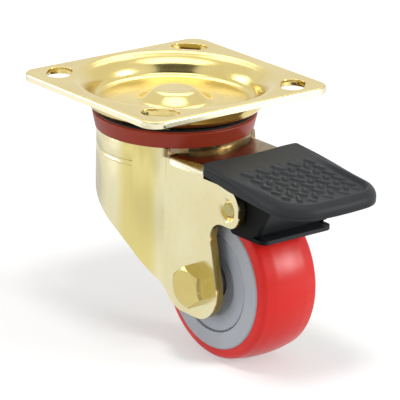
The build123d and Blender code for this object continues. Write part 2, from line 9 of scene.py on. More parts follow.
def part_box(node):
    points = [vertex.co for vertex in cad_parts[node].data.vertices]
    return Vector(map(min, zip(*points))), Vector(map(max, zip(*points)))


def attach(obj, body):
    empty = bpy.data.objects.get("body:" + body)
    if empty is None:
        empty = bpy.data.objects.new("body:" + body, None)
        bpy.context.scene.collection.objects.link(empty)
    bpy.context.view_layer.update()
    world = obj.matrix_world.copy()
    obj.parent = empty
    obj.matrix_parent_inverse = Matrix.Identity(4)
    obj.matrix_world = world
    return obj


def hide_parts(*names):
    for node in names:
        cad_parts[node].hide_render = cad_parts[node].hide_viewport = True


bl_info = {
    "name": "Braked swivel castor",
    "version": (1, 0, 0),
    "blender": (4, 5, 0),
    "location": "3D View > Sidebar > Castor",
    "description": "Dresses the packed castor: finishes, round edges, pedal, tyre, hub covers and seal",
    "category": "Object",
}

# Metres, in the row frame: +Z up, +X along the trail, Y along the axle.
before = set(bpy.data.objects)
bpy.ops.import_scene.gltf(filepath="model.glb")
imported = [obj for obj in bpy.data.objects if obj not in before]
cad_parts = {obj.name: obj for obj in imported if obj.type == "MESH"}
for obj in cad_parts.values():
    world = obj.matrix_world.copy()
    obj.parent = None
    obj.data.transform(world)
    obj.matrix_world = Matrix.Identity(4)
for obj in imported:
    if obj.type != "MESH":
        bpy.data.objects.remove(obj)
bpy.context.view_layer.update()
MM = 0.001
AXLE = (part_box("tyre")[0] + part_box("tyre")[1]) / 2
WHITE = (1.0, 1.0, 1.0, 1.0)


# Shader maths


class Value:
    """A number that varies over a surface. Arithmetic on it adds Math nodes."""

    def __init__(self, paint, socket):
        self.paint = paint
        self.socket = socket

    def _math(self, operation, *numbers):
        sockets = dict(enumerate(numbers))
        node = self.paint.node("ShaderNodeMath", {"operation": operation}, sockets)
        return Value(self.paint, node.outputs[0])

    def __add__(self, other):
        return self._math("ADD", self, other)

    def __radd__(self, other):
        return self._math("ADD", other, self)

    def __sub__(self, other):
        return self._math("SUBTRACT", self, other)

    def __rsub__(self, other):
        return self._math("SUBTRACT", other, self)

    def __mul__(self, other):
        return self._math("MULTIPLY", self, other)

    def __rmul__(self, other):
        return self._math("MULTIPLY", other, self)

    def __truediv__(self, other):
        return self._math("DIVIDE", self, other)

    def __pow__(self, other):
        return self._math("POWER", self, other)

    def __abs__(self):
        return self._math("ABSOLUTE", self)

    def sine(self):
        return self._math("SINE", self)

    def clip(self):
        """Held between 0 and 1."""
        return self._math("MINIMUM", self._math("MAXIMUM", self, 0.0), 1.0)

    def step(self, low, high):
        """0 below low, 1 above high, and a smooth rise between them."""
        settings = {"interpolation_type": "SMOOTHSTEP"}
        node = self.paint.node("ShaderNodeMapRange", settings, {0: self, 1: low, 2: high})
        return Value(self.paint, node.outputs[0])

    def band(self, rise, fall):
        """1 between a smooth rise and a smooth fall, each given by where it starts and ends."""
        return self.step(*rise) * (1 - self.step(*fall))


def distance(x, y):
    """The square root of x squared plus y squared."""
    return (x ** 2 + y ** 2) ** 0.5


class Paint:
    """The nodes of a procedural material, or of the world, while they are being made."""

    def __init__(self, name, kind="materials"):
        self.block = getattr(bpy.data, kind).new(name)
        self.block.use_nodes = True
        self.tree = self.block.node_tree
        self.tree.nodes.clear()

    @cached_property
    def place(self):
        """The object's own coordinates, in metres."""
        return self.node("ShaderNodeTexCoord").outputs["Object"]

    def node(self, kind, settings=None, sockets=None):
        """Adds a node: its settings first, then a value or a link for each socket."""
        node = self.tree.nodes.new(kind)
        for key, value in (settings or {}).items():
            setattr(node, key, value)
        for key, value in (sockets or {}).items():
            source = value.socket if isinstance(value, Value) else value
            if isinstance(source, bpy.types.NodeSocket):
                self.tree.links.new(source, node.inputs[key])
            else:
                node.inputs[key].default_value = source
        return node

    def axes(self):
        """The three coordinates as values, in metres."""
        split = self.node("ShaderNodeSeparateXYZ", None, {0: self.place})
        return [Value(self, split.outputs[axis]) for axis in range(3)]

    def noise(self, size, detail=2.0, roughness=0.5):
        """Cloudy noise from 0 to 1 whose patches are about size metres across."""
        sockets = {"Vector": self.place, "Scale": 1 / size, "Detail": detail, "Roughness": roughness}
        return Value(self, self.node("ShaderNodeTexNoise", None, sockets).outputs[0])

    def ray(self, kind):
        """1 for the rays of this kind, such as Camera or Glossy, and 0 for the others."""
        return Value(self, self.node("ShaderNodeLightPath").outputs[f"Is {kind} Ray"])

    def mix(self, share, first, second):
        """The first colour at 0 and the second at 1. Each is three numbers or a link."""
        first, second = ((*shade, 1.0) if isinstance(shade, tuple) else shade for shade in (first, second))
        return self.node("ShaderNodeMix", {"data_type": "RGBA"}, {0: share, 6: first, 7: second}).outputs[2]

    def bump(self, height, depth):
        """A surface normal from a height of 0 to 1 that stands for depth metres."""
        return self.node("ShaderNodeBump", None, {"Height": height, "Distance": depth}).outputs[0]

    def finish(self, **sockets):
        """Joins a Principled shader to the output: socket names are given with underscores."""
        named = {key.replace("_", " "): value for key, value in sockets.items()}
        shader = self.node("ShaderNodeBsdfPrincipled", None, named)
        self.node("ShaderNodeOutputMaterial", None, {0: shader.outputs[0]})
        return self.block


def shaded(rgb, factors):
    """A colour with its channels times factors, which is three numbers or one, and none over 1."""
    return tuple(np.minimum(np.array(rgb) * factors, 1).tolist())


# Materials: cache keeps one for each set of arguments.


@cache
def yellow_zinc(name, body, satin=0.2, part=""):
    """Yellow passivated zinc on steel: the film drifts to a paler flare, over fine drawing marks."""
    paint = Paint(name)
    film = paint.noise(30 * MM, 3.0)
    fine = paint.noise(3.5 * MM, 2.0)
    drawn = paint.noise(0.6 * MM, 2.0, 0.6)
    drift = (film * 0.8 + fine * 0.2).step(0.35, 0.65)
    base = paint.mix(drift, body, shaded(body, (1.05, 1.08, 1.2)))
    relief = 0.006 * MM * drawn
    # The plate's cut edge gets a painted highlight, and the fork gets painted highlights and painted shade.
    if part == "plate":
        relief = relief + dish_wall(paint)
        base = painted_plate_edge(paint, base, film)
    if part == "fork":
        base = fork_painted_light(paint, base, body, film, fine)
    return paint.finish(
        Base_Color=base,
        Metallic=1.0,
        Roughness=satin - 0.05 + 0.1 * drawn + 0.05 * film,
        Normal=paint.bump(relief, 1.0),
    )


def dish_wall(paint):
    """The height that steepens the plate's dish towards its foot: bulge / 2 * (1 - cos(2 pi s)).

    s goes from 0 to 1 across the wall, and the cosine is a sine a quarter turn on.
    """
    foot, run, bulge = 36.5 * MM, 7.0 * MM, 1.0 * MM
    x, y, _ = paint.axes()
    wall = ((distance(x, y) - foot) / run).clip()
    return bulge / 2 * (1 - (wall * (2 * math.pi) + math.pi / 2).sine())


def painted_plate_edge(paint, base, film):
    """Painted highlight on the plate's cut edge: all that is further than corner from a rectangle inset by
    it.
    """
    half_length, half_width, corner = 49.5 * MM, 51.5 * MM, 8.0 * MM
    edge_start, edge_end = corner - 0.35 * MM, corner - 0.1 * MM
    painted_highlight = (0.80, 0.75, 0.56)
    x, y, _ = paint.axes()
    past_x = (abs(x) - (half_length - corner)).clip()
    past_y = (abs(y) - (half_width - corner)).clip()
    # Painted highlight: the cut edge is painted paler than the flat.
    cut_edge = distance(past_x, past_y).step(edge_start, edge_end)
    return paint.mix(cut_edge * (1 - 0.3 * film), base, painted_highlight)


def fork_painted_light(paint, base, body, film, fine):
    """Painted light and shade on the fork's film.

    Painted shade makes the cut edges of the legs browner, a painted highlight makes the bridge's folds paler,
    and painted shade makes it golder where the apron turns into the legs. Dark brown painted shade lies over
    the bridge.
    """
    # Colours of the painted highlight on the folds and of the painted shade on the bridge.
    painted_highlight, shade_brown = (0.86, 0.83, 0.68), (0.15, 0.072, 0.010)
    x, y, z = paint.axes()
    side = abs(y)
    # Painted shade: the legs' cut edges are painted browner and darker.
    within_legs = 1 - side.step(24.2 * MM, 24.8 * MM)
    below_bridge = 1 - z.step(-40.0 * MM, -36.0 * MM)
    cut_edge = within_legs * below_bridge * x.step(20.0 * MM, 26.0 * MM)
    base = paint.mix(cut_edge, base, shaded(body, (0.70, 0.54, 0.26)))
    # Painted highlight: the bridge's folds are painted paler.
    leg_fold = side.band((20.0 * MM, 21.2 * MM), (24.6 * MM, 24.9 * MM))
    fold = leg_fold * z.step(-28.6 * MM, -27.6 * MM) * x.step(24.0 * MM, 27.0 * MM)
    base = paint.mix(fold, base, painted_highlight)
    # Painted shade: a darker, golder band where the apron turns into the legs.
    turn = x.band((3.0 * MM, 9.0 * MM), (19.5 * MM, 24.5 * MM)) * side.step(20.0 * MM, 24.0 * MM)
    base = paint.mix(turn * (0.7 + 0.3 * film), base, shaded(body, (0.96, 0.90, 0.55)))
    # Painted shade: dark brown over the bridge, between the seal and the pedal.
    painted_shade = x.step(24.0 * MM, 26.0 * MM) * z.step(-26.2 * MM, -25.4 * MM)
    return paint.mix(painted_shade * (1 - 0.35 * fine), base, shade_brown)


@cache
def bare_steel(name, shade, satin):
    """Turned or rolled steel, with fine marks."""
    paint = Paint(name)
    grey = (shade, shade, shade)
    marks = paint.noise(0.8 * MM, 3.0, 0.6)
    return paint.finish(
        Base_Color=paint.mix(marks, shaded(grey, 0.86), shaded(grey, (1, 1, 1.02))),
        Metallic=1.0,
        Roughness=satin + 0.12 * marks,
        Normal=paint.bump(marks, 0.005 * MM),
    )


@cache
def moulded(name, body, worn, satin, grain_size, grain_depth, gloss=0.4):
    """Moulded plastic: a spark-eroded grain, and a slow change of shade from body to body times worn."""
    paint = Paint(name)
    cloud = paint.noise(18 * MM, 3.0)
    grain = paint.noise(grain_size, 2.0, 0.55)
    return paint.finish(
        Base_Color=paint.mix(0.7 * cloud + 0.3 * grain, body, shaded(body, worn)),
        Roughness=satin - 0.06 + 0.12 * grain,
        Specular_IOR_Level=gloss,
        Normal=paint.bump(grain, grain_depth),
    )


@cache
def seal_paint(name, body, lip_height):
    """Red-brown moulding whose shade drifts, with a black lip above lip_height."""
    black, lip_blur = (0.004, 0.004, 0.004), 0.1 * MM
    paint = Paint(name)
    _, _, z = paint.axes()
    cloud = paint.noise(22 * MM, 3.0)
    grain = paint.noise(0.4 * MM, 2.0)
    lip = z.step(lip_height - lip_blur, lip_height + lip_blur)
    return paint.finish(
        Base_Color=paint.mix(lip, paint.mix(cloud, body, shaded(body, 0.7)), black),
        Roughness=0.3 + 0.1 * grain + 0.4 * lip,
        Specular_IOR_Level=0.25,
        Normal=paint.bump(grain, 0.006 * MM),
    )


@cache
def black_coat(name, body, satin):
    """Baked black coating on sheet steel, with a light orange-peel surface and matt sides with painted shade.
    """
    side_start, side_end = 16.5 * MM, 18.5 * MM
    paint = Paint(name)
    _, y, _ = paint.axes()
    # Painted shade: the cheeks are painted far darker than the face.
    side = abs(y).step(side_start, side_end)
    peel = paint.noise(1.2 * MM, 1.0)
    cloud = paint.noise(12 * MM, 2.0)
    base = paint.mix(cloud, body, shaded(body, 1.6))
    return paint.finish(
        Base_Color=paint.mix(side, base, shaded(body, 0.15)),
        Roughness=satin + 0.1 * cloud + 0.3 * side,
        Specular_IOR_Level=0.15,
        Normal=paint.bump(peel, 0.02 * MM),
    )


# Bare steels: name, shade and roughness.
BALL_STEEL = ("ball_steel", 0.75, 0.06)
TURNED_STEEL = ("turned_steel", 0.55, 0.25)


def dress(node, material, edge_round=0.0):
    """Gives a CAD node its finish and, as modifiers on the node, sharp edges rounded by edge_round."""
    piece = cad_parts[node]
    piece.data.materials.clear()
    piece.data.materials.append(material)
    if not edge_round:
        return
    weld = piece.modifiers.new("weld", "WELD")
    weld.merge_threshold = 0.002 * MM
    bevel = piece.modifiers.new("edge_round", "BEVEL")
    bevel.width = edge_round
    bevel.segments = 3
    bevel.limit_method = "ANGLE"
    bevel.angle_limit = math.radians(35)
    bevel.harden_normals = True


# Surfaces


def rounded(corners, steps=8):
    """A closed outline through corners (x, y, radius), each turned into an arc of its radius.

    With unit vectors a and b from the corner to its neighbours and 2h the angle between them, the arc's
    centre lies r / sin(h) along a + b. The arc sweeps from one tangent point to the other: its direction
    from the centre is first * sin((1 - t) * w) + last * sin(t * w), over sin(w), with w = pi - 2h.
    """
    corners = np.asarray(corners, float)
    points, radii = corners[:, :2], corners[:, 2:]
    back = np.roll(points, 1, 0) - points
    ahead = np.roll(points, -1, 0) - points
    back /= np.linalg.norm(back, axis=1, keepdims=True)
    ahead /= np.linalg.norm(ahead, axis=1, keepdims=True)
    half = np.arccos(np.clip((back * ahead).sum(1, keepdims=True), -1, 1)) / 2
    middle = back + ahead
    middle /= np.linalg.norm(middle, axis=1, keepdims=True)
    centre = points + middle * radii / np.sin(half)
    first = (points + back * radii / np.tan(half) - centre) / radii
    last = (points + ahead * radii / np.tan(half) - centre) / radii
    sweep = (math.pi - 2 * half)[:, None, :]
    t = np.linspace(0, 1, steps)[None, :, None]
    arc = (np.sin((1 - t) * sweep) * first[:, None] + np.sin(t * sweep) * last[:, None]) / np.sin(sweep)
    return (centre[:, None] + radii[:, None] * arc).reshape(-1, 2)


def lathed(outline, centre, axis, turns=160):
    """An outline (along, radius) carried round an axis.

    A point at angle q is centre + axis * along + radius * (across * cos q + up * sin q).
    """
    axis = np.asarray(axis, float)
    across = np.roll(axis, 1)
    up = np.cross(axis, across)
    angle = np.linspace(0, 2 * math.pi, turns, endpoint=False)[:, None, None]
    around = across * np.cos(angle) + up * np.sin(angle)
    return np.asarray(centre) + axis * outline[None, :, :1] + around * outline[None, :, 1:]


def grid_faces(rows, columns, close_rows, close_columns):
    """Four-sided faces between neighbours in a grid of points, wrapped round where asked."""
    row = np.arange(rows if close_rows else rows - 1)[:, None]
    column = np.arange(columns if close_columns else columns - 1)[None, :]
    next_row, next_column = (row + 1) % rows, (column + 1) % columns
    corners = (
        row * columns + column,
        next_row * columns + column,
        next_row * columns + next_column,
        row * columns + next_column,
    )
    count = (row.size, column.size)
    return np.stack([np.broadcast_to(corner, count) for corner in corners], -1).reshape(-1, 4)


def outward(points, faces):
    """The faces, turned over as one if the volume that they enclose comes out negative."""
    a, b, c, d = (points[faces[:, corner]] for corner in range(4))
    volume = (a * np.cross(b, c)).sum() + (a * np.cross(c, d)).sum()
    return faces if volume > 0 else faces[:, ::-1]


def make_piece(name, points, faces, material, body, replaced):
    """A finished mesh that rides on its body and stands for the CAD nodes that it replaces."""
    points = np.asarray(points, float).reshape(-1, 3)
    faces = outward(points, faces)
    mesh = bpy.data.meshes.new(name)
    mesh.from_pydata(points.tolist(), [], faces.tolist())
    mesh.polygons.foreach_set("use_smooth", np.ones(len(faces), bool))
    mesh.materials.append(material)
    piece = bpy.data.objects.new(name, mesh)
    bpy.context.collection.objects.link(piece)
    even = piece.modifiers.new("even_shading", "WEIGHTED_NORMAL")
    even.weight = 80
    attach(piece, body)
    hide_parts(*replaced)


def lathed_piece(name, corners, centre, axis, material, body, replaced):
    """A ring with rounded corners, closed both ways."""
    points = lathed(rounded(corners), centre, axis)
    faces = grid_faces(points.shape[0], points.shape[1], True, True)
    make_piece(name, points, faces, material, body, replaced)


def ease(value, low, high):
    """0 at low, 1 at high, and a smooth rise between: 3t^2 - 2t^3."""
    t = np.clip((value - low) / (high - low), 0, 1)
    return t * t * (3 - 2 * t)


# Stage


class CastorStage(bpy.types.PropertyGroup):
    """Camera, lamps and floor."""

    camera_azimuth: bpy.props.FloatProperty(
        name="Camera azimuth", description="Turn of the camera round the castor, from the +X axis",
        default=math.radians(-38.95), subtype="ANGLE")
    camera_elevation: bpy.props.FloatProperty(
        name="Camera elevation", description="Height of the camera over the horizon",
        default=math.radians(18.795), subtype="ANGLE")
    camera_roll: bpy.props.FloatProperty(
        name="Camera roll", description="Turn of the picture about the line of sight",
        default=math.radians(1.287), subtype="ANGLE")
    camera_distance: bpy.props.FloatProperty(
        name="Camera distance", description="From the camera to the point that it looks at",
        default=1.3208, unit="LENGTH")
    key_power: bpy.props.FloatProperty(
        name="Key lamp", description="Power of the large soft lamp above", default=6.8, unit="POWER")
    side_power: bpy.props.FloatProperty(
        name="Side lamp", description="Power of the lamp on the pedal's side", default=7.5, unit="POWER")
    fill_power: bpy.props.FloatProperty(
        name="Fill lamp", description="Power of the low lamp on the bolt head's side",
        default=2.8, unit="POWER")
    room_level: bpy.props.FloatProperty(
        name="Room level", description="Light from the white room all round", default=0.53)
    grey_level: bpy.props.FloatProperty(
        name="Grey card level", description="How bright the card over the camera looks in the metal",
        default=0.1)
    card_level: bpy.props.FloatProperty(
        name="White card level", description="How bright the white cards look in the metal", default=3.2)


def look_at(place, target, roll=0.0):
    """Rotation of a camera, lamp or card at place that faces target, rolled about its line of sight."""
    back = (Vector(place) - Vector(target)).normalized()
    right = Vector((0, 0, 1)).cross(back).normalized()
    up = back.cross(right)
    turned_right = math.cos(roll) * right + math.sin(roll) * up
    turned_up = math.cos(roll) * up - math.sin(roll) * right
    return Matrix((turned_right, turned_up, back)).transposed().to_4x4()


def set_camera(stage):
    """The photo's camera: a long lens, placed by its azimuth, elevation and distance."""
    target = Vector((0.02475, 0.0, -0.0495))
    lens_in_pixels = 2935.0
    frame_pixels = 400.0
    offset_right, offset_down = 7.31, -3.25
    azimuth, elevation = stage.camera_azimuth, stage.camera_elevation
    back = Vector((
        math.cos(elevation) * math.cos(azimuth),
        math.cos(elevation) * math.sin(azimuth),
        math.sin(elevation),
    ))
    place = target + back * stage.camera_distance
    data = bpy.data.cameras.new("camera")
    data.sensor_width = 36.0
    data.lens = lens_in_pixels / frame_pixels * data.sensor_width
    data.shift_x = -offset_right / frame_pixels
    data.shift_y = offset_down / frame_pixels
    data.clip_end = 20.0
    camera = bpy.data.objects.new("camera", data)
    bpy.context.collection.objects.link(camera)
    camera.matrix_world = Matrix.Translation(place) @ look_at(place, target, stage.camera_roll)
    bpy.context.scene.camera = camera


def lamp(name, place, target, size, power, in_gloss):
    """A square soft lamp at place that shines at target, and shows in reflections if in_gloss."""
    data = bpy.data.lights.new(name, "AREA")
    data.shape = "SQUARE"
    data.size = size
    data.energy = power
    thing = bpy.data.objects.new(name, data)
    bpy.context.collection.objects.link(thing)
    thing.matrix_world = Matrix.Translation(place) @ look_at(place, target)
    thing.visible_glossy = in_gloss


def stage_panel(name, corners, paint):
    """A four-cornered panel that belongs to the stage."""
    mesh = bpy.data.meshes.new(name)
    mesh.from_pydata(corners, [], [(0, 1, 2, 3)])
    mesh.materials.append(paint.block)
    panel = bpy.data.objects.new(name, mesh)
    bpy.context.collection.objects.link(panel)
    return panel


def card(name, place, target, width, height, level):
    """A glowing card at place that faces target. Only reflections see it."""
    turn = look_at(place, target)
    corners = [(-width, -height), (width, -height), (width, height), (-width, height)]
    corners = [Vector(place) + turn @ Vector((x / 2, y / 2, 0)) for x, y in corners]
    paint = Paint(name)
    glow = paint.node("ShaderNodeEmission", None, {"Color": WHITE, "Strength": level})
    paint.node("ShaderNodeOutputMaterial", None, {0: glow.outputs[0]})
    panel = stage_panel(name, corners, paint)
    panel.visible_camera = panel.visible_diffuse = False
    panel.visible_shadow = panel.visible_transmission = False


class CASTOR_OT_stage(bpy.types.Operator):
    """Makes the white room, the floor, the lamps and the camera"""

    bl_idname = "castor.stage"
    bl_label = "Stage"

    # Patches of the floor that look lighter or darker in the metal: centre, inner and outer radius, change.
    PATCHES = (
        (0.05, -0.25, 0.07, 0.18, -0.45),
        (-0.22, 0.04, 0.06, 0.16, -0.7),
        (0.31, 0.21, 0.08, 0.20, 1.5),
        (-0.28, -0.26, 0.05, 0.12, 0.6),
    )

    def execute(self, context):
        stage = context.scene.castor_stage
        context.scene.view_settings.view_transform = "Standard"
        context.scene.world = self.room(stage.room_level)
        self.floor()
        middle = Vector((0.03, 0.0, -0.06))
        lamp("key", (0.36, -0.22, 1.02), middle, 0.26, stage.key_power, False)
        lamp("side", (0.95, 0.70, 0.32), middle, 0.34, stage.side_power, True)
        lamp("fill", (-0.10, -1.05, 0.16), middle, 0.60, stage.fill_power, False)
        card("grey_card", (0.86, -0.67, 0.96), middle, 1.30, 0.96, stage.grey_level)
        card("top_card", (0.24, -0.19, 1.40), (0.26, -0.206, 0), 1.30, 0.80, stage.card_level)
        card("back_card", (-0.56, 0.46, 0.94), middle, 0.90, 0.56, stage.card_level)
        card("left_card", (-0.78, -0.62, 0.12), middle, 0.46, 0.56, 1.4 * stage.card_level)
        set_camera(stage)
        return {"FINISHED"}

    def room(self, light):
        """White where the camera, a mirror or a clear thing looks, and a level of light elsewhere."""
        paint = Paint("white_room", "worlds")
        seen = (paint.ray("Camera") + paint.ray("Glossy") + paint.ray("Transmission")).clip()
        level = light + (1 - light) * seen
        background = paint.node("ShaderNodeBackground", None, {"Color": WHITE, "Strength": level})
        paint.node("ShaderNodeOutputWorld", None, {0: background.outputs[0]})
        return paint.block

    def floor(self):
        """A pale floor that keeps the shadow, with white of its own for the camera and for mirrors.

        The camera's white grows away from the castor, so that only the shadow shows on it, and the mirrors'
        white changes in each patch.
        """
        half, low = 3.0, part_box("tyre")[0].z
        grey = (0.55, 0.55, 0.55, 1.0)
        near_white, more_far, fade_start, fade_end = 0.44, 0.36, 0.16, 0.55
        mirror_white = 0.5
        paint = Paint("floor")
        x, y, _ = paint.axes()
        mirrored = 1.0
        for centre_x, centre_y, inner, outer, change in self.PATCHES:
            away = distance(x - centre_x, y - centre_y)
            mirrored = mirrored + change * (1 - away.step(inner, outer))
        far = distance(x, y).step(fade_start, fade_end)
        white = paint.ray("Camera") * (near_white + more_far * far)
        white = white + paint.ray("Glossy") * (mirror_white * mirrored)
        lit = paint.node("ShaderNodeBsdfDiffuse", None, {"Color": grey})
        glow = paint.node("ShaderNodeEmission", None, {"Color": WHITE, "Strength": white})
        both = paint.node("ShaderNodeAddShader", None, {0: lit.outputs[0], 1: glow.outputs[0]})
        paint.node("ShaderNodeOutputMaterial", None, {0: both.outputs[0]})
        corners = [(-half, -half, low), (half, -half, low), (half, half, low), (-half, half, low)]
        stage_panel("floor", corners, paint)


# Settings, and an operator for each group of like pieces


class CastorFinish(bpy.types.PropertyGroup):
    """Colours of the castor's finishes."""

    plate_gold: bpy.props.FloatVectorProperty(
        name="Plate", description="Yellow zinc on the top plate",
        default=(0.69, 0.55, 0.205), subtype="COLOR")
    fork_gold: bpy.props.FloatVectorProperty(
        name="Fork", description="Yellow zinc on the fork", default=(0.71, 0.64, 0.37), subtype="COLOR")
    bolt_gold: bpy.props.FloatVectorProperty(
        name="Bolt", description="Yellow zinc on the bolt and the nut",
        default=(0.59, 0.48, 0.17), subtype="COLOR")
    tyre_red: bpy.props.FloatVectorProperty(
        name="Tyre", description="Cast polyurethane", default=(0.80, 0.022, 0.016), subtype="COLOR")
    hub_grey: bpy.props.FloatVectorProperty(
        name="Hub", description="Moulded hub", default=(0.44, 0.465, 0.51), subtype="COLOR")
    cover_grey: bpy.props.FloatVectorProperty(
        name="Cover", description="Discs over the bearings", default=(0.42, 0.45, 0.51), subtype="COLOR")
    seal_red: bpy.props.FloatVectorProperty(
        name="Seal", description="Ring round the swivel head", default=(0.36, 0.044, 0.021), subtype="COLOR")
    pedal_black: bpy.props.FloatVectorProperty(
        name="Pedal", description="Moulded pedal", default=(0.026, 0.028, 0.030), subtype="COLOR")
    lever_black: bpy.props.FloatVectorProperty(
        name="Lever", description="Coated lever and blade", default=(0.020, 0.022, 0.023), subtype="COLOR")


class CastorWheel(bpy.types.PropertyGroup):
    """Sizes of the wheel."""

    tread_radius: bpy.props.FloatProperty(
        name="Tread radius", description="At the crown", default=0.0375, unit="LENGTH")
    shoulder_radius: bpy.props.FloatProperty(
        name="Shoulder radius", description="Where the tread meets the sides", default=0.0358, unit="LENGTH")
    shoulder_half_width: bpy.props.FloatProperty(
        name="Shoulder half width", description="Half the tread's width", default=0.0148, unit="LENGTH")
    foot_half_width: bpy.props.FloatProperty(
        name="Foot half width", description="Half the tyre's width at the hub", default=0.0158, unit="LENGTH")
    hub_radius: bpy.props.FloatProperty(
        name="Hub radius", description="Where the tyre sits", default=0.0314, unit="LENGTH")
    hub_half_width: bpy.props.FloatProperty(
        name="Hub half width", description="Half the hub's width at its rim", default=0.0166, unit="LENGTH")
    cover_radius: bpy.props.FloatProperty(
        name="Cover radius", description="Of the disc over the bearing", default=0.0234, unit="LENGTH")


class CastorPedal(bpy.types.PropertyGroup):
    """Sizes of the pedal, from its rear edge along its upper face."""

    rear_x: bpy.props.FloatProperty(
        name="Rear edge", description="Distance behind the swivel axis", default=0.054, unit="LENGTH")
    rear_drop: bpy.props.FloatProperty(
        name="Rear drop", description="Rear edge below the plate's top", default=0.021, unit="LENGTH")
    slope: bpy.props.FloatProperty(
        name="Slope", description="Fall of the pedal towards its nose",
        default=math.radians(4.5), subtype="ANGLE")
    length: bpy.props.FloatProperty(
        name="Length", description="Rear edge to nose", default=0.0635, unit="LENGTH")
    width: bpy.props.FloatProperty(name="Width", description="Side to side", default=0.055, unit="LENGTH")
    height: bpy.props.FloatProperty(
        name="Height", description="Of the skirt at the nose", default=0.0059, unit="LENGTH")
    rear_height: bpy.props.FloatProperty(
        name="Rear height", description="Of the skirt at the rear", default=0.0044, unit="LENGTH")
    nose_bow: bpy.props.FloatProperty(
        name="Nose bow", description="How far the nose bulges", default=0.0025, unit="LENGTH")
    nose_corner: bpy.props.FloatProperty(
        name="Nose corner", description="Radius of the two front corners", default=0.013, unit="LENGTH")
    rear_corner: bpy.props.FloatProperty(
        name="Rear corner", description="Radius of the two rear corners", default=0.0026, unit="LENGTH")
    edge_round: bpy.props.FloatProperty(
        name="Edge round", description="Radius of the upper edge at the nose", default=0.0044, unit="LENGTH")
    rear_round: bpy.props.FloatProperty(
        name="Rear edge round", description="Radius of the upper edge at the rear",
        default=0.0014, unit="LENGTH")
    field_depth: bpy.props.FloatProperty(
        name="Field depth", description="Of the sunk tread at the nose", default=0.0015, unit="LENGTH")
    bar_length: bpy.props.FloatProperty(
        name="Grip bar length", description="Of one bar of the grip", default=0.0056, unit="LENGTH")
    bar_width: bpy.props.FloatProperty(
        name="Grip bar width", description="Of one bar of the grip", default=0.0020, unit="LENGTH")
    bar_rise: bpy.props.FloatProperty(
        name="Grip bar rise", description="Height over the sunk tread", default=0.0009, unit="LENGTH")


class CASTOR_OT_plate(bpy.types.Operator):
    """Finishes the top plate"""

    bl_idname = "castor.plate"
    bl_label = "Top plate"

    def execute(self, context):
        finish = context.scene.castor_finish
        dress("top_plate", yellow_zinc("zinc_plate", tuple(finish.plate_gold), 0.17, "plate"), 0.3 * MM)
        for node in ("king_pin", "lower_race"):
            dress(node, yellow_zinc("zinc_bolt", tuple(finish.bolt_gold)))
        return {"FINISHED"}


class CASTOR_OT_swivel_head(bpy.types.Operator):
    """Finishes the dust seal and the swivel balls"""

    bl_idname = "castor.swivel_head"
    bl_label = "Swivel head"

    def execute(self, context):
        # The outline is in millimetres: height, radius and corner radius.
        low, high = (corner * 1000 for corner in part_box("dust_seal"))
        bore, foot, rim = 34.1, 36.0, 37.6
        lip_foot, lip_outer, lip_inner, lip_rise, lip_depth = 36.3, 35.9, 35.2, 1.15, 1.4
        outline = [
            (low.z, bore, 0.1),
            (low.z, foot, 0.5),
            (high.z, rim, 0.6),
            (high.z, lip_foot, 0.25),
            (high.z + lip_rise, lip_outer, 0.2),
            (high.z + lip_rise, lip_inner, 0.2),
            (high.z - lip_depth, bore, 0.3),
        ]
        red = tuple(context.scene.castor_finish.seal_red)
        lathed_piece(
            "seal_ring", np.array(outline) * MM, (0, 0, 0), (0, 0, 1),
            seal_paint("seal_plastic", red, high.z * MM + 0.25 * MM),
            "fork", ["dust_seal"])
        for node in ("upper_balls", "lower_balls"):
            dress(node, bare_steel(*BALL_STEEL))
        return {"FINISHED"}


class CASTOR_OT_fork(bpy.types.Operator):
    """Finishes the fork"""

    bl_idname = "castor.fork"
    bl_label = "Fork"

    def execute(self, context):
        gold = tuple(context.scene.castor_finish.fork_gold)
        dress("fork", yellow_zinc("zinc_fork", gold, 0.18, "fork"), 0.35 * MM)
        return {"FINISHED"}


class CASTOR_OT_axle(bpy.types.Operator):
    """Finishes the axle bolt, its nut, the bushes and the spacer"""

    bl_idname = "castor.axle"
    bl_label = "Axle"

    def execute(self, context):
        gold = tuple(context.scene.castor_finish.bolt_gold)
        for node in ("axle_bolt", "axle_nut"):
            dress(node, yellow_zinc("zinc_bolt", gold), 0.25 * MM)
        for node in ("near_axle_bush", "far_axle_bush", "centre_spacer"):
            dress(node, bare_steel(*TURNED_STEEL))
        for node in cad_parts:
            if "_bearing_" in node:
                dress(node, bare_steel(*BALL_STEEL))
        return {"FINISHED"}


